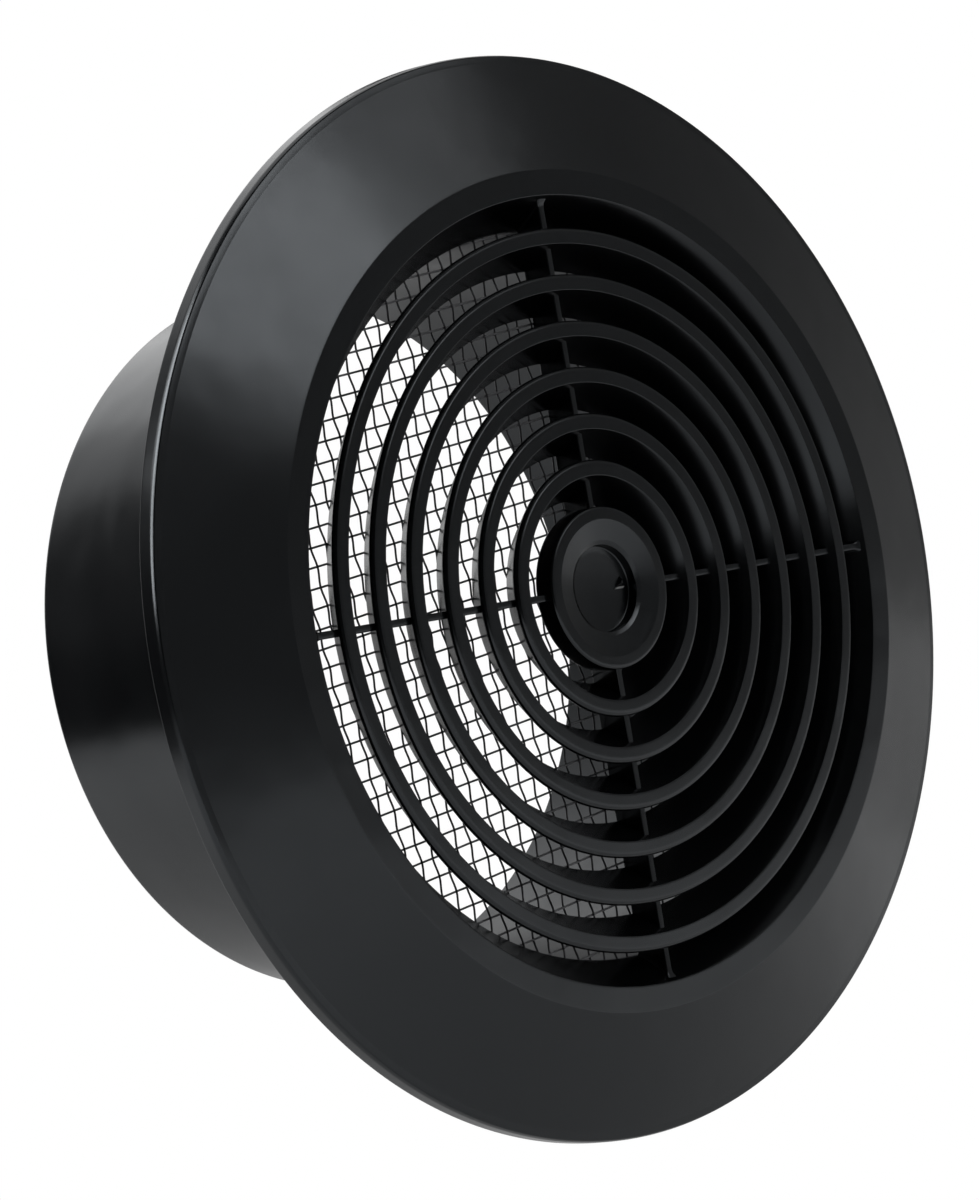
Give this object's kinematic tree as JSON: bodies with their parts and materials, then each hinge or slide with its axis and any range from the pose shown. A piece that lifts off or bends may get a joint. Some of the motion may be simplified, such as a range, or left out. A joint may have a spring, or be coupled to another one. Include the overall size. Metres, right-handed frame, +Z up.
{
  "type": "ceiling vent grille",
  "caption": "Round ceiling vent grille: concentric slanted louvres on a cross of ribs, a shallow conical flange, an insect screen behind them and a tubular collar that pushes into a duct.",
  "frame": {"origin": "on the grille's axis, in the plane of the ceiling or wall that the flange's rim rests on", "axes": "+Y along the axis, from the louvred face towards the collar's end; the face looks towards -Y; +Z up, along one pair of ribs, as in the picture"},
  "size_m": [0.18, 0.0712, 0.18],
  "materials": {
    "body_plastic": "black moulded plastic, satin",
    "screen_mesh": "dark woven mesh"
  },
  "bodies": {
    "root": {"grille_body": "body_plastic", "insect_screen": "screen_mesh"}
  },
  "joints": []
}
